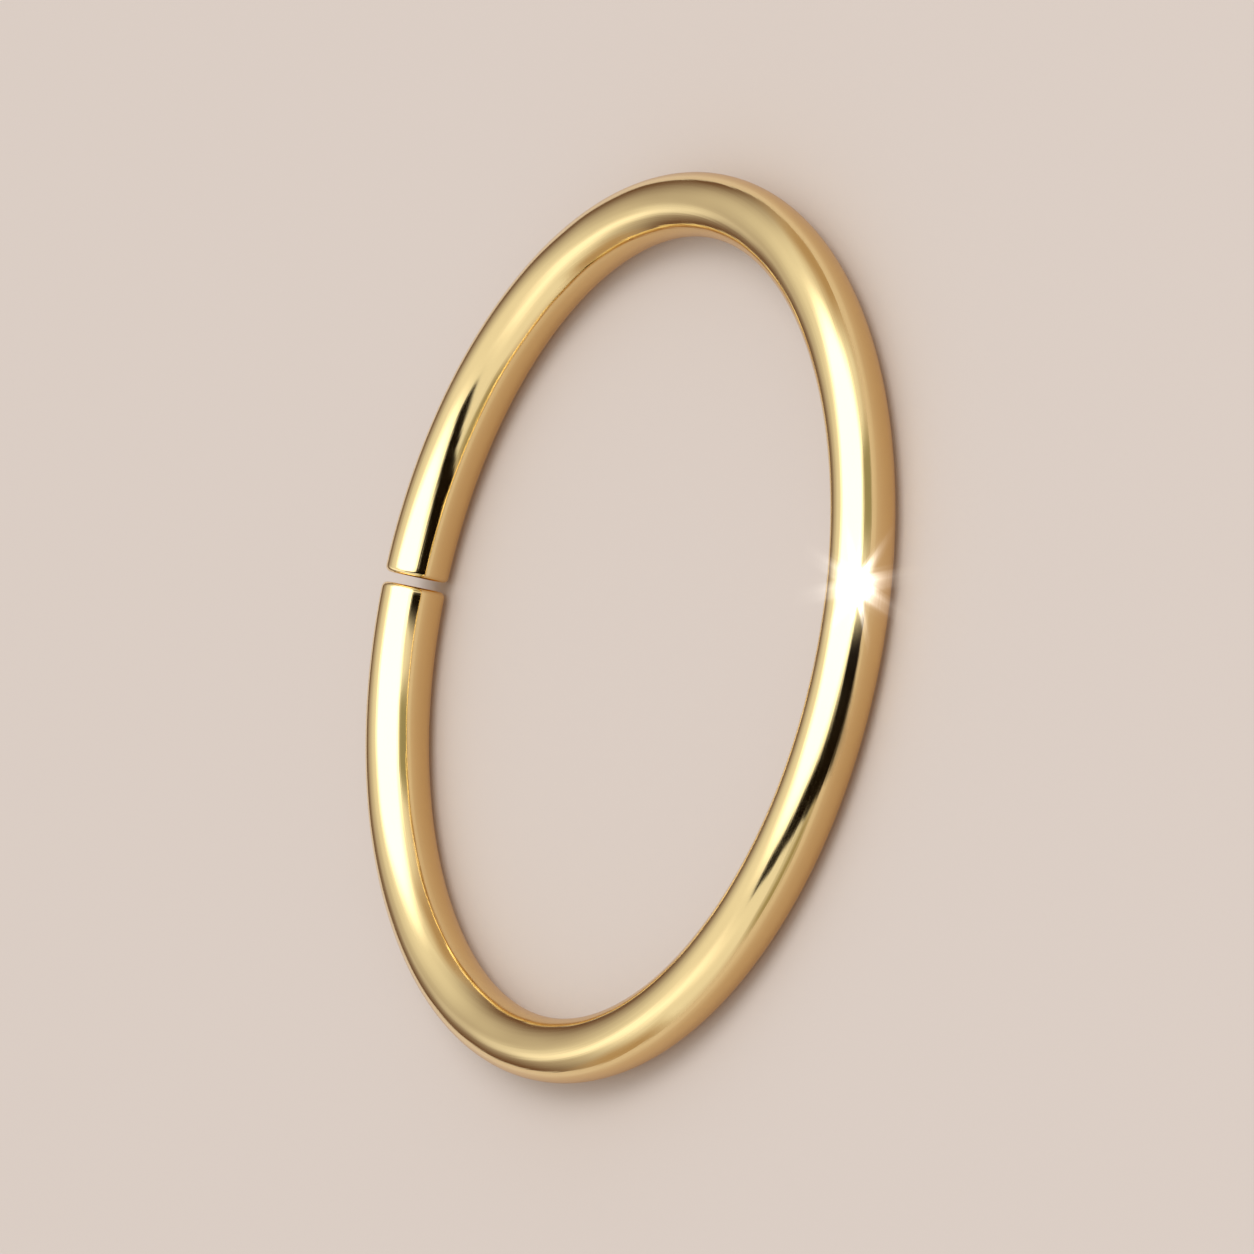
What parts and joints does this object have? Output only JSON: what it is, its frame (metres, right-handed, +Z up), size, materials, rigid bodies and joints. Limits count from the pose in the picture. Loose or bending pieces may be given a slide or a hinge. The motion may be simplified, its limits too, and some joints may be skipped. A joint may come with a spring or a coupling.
{
  "type": "nose ring",
  "caption": "Plain round-wire gold hoop worn through a nostril piercing, bent into a circle with softened ends that meet at a hairline joint.",
  "frame": {"origin": "centre of the hoop's circle, on the surface that it lies on", "axes": "+Z up, along the hoop's axis, out of the surface that it lies on; the joint between the ends of the wire faces +Y"},
  "size_m": [0.0092, 0.0092, 0.0007],
  "materials": {
    "polished_gold": "mirror-polished yellow gold"
  },
  "bodies": {
    "root": {"hoop": "polished_gold"}
  },
  "joints": []
}
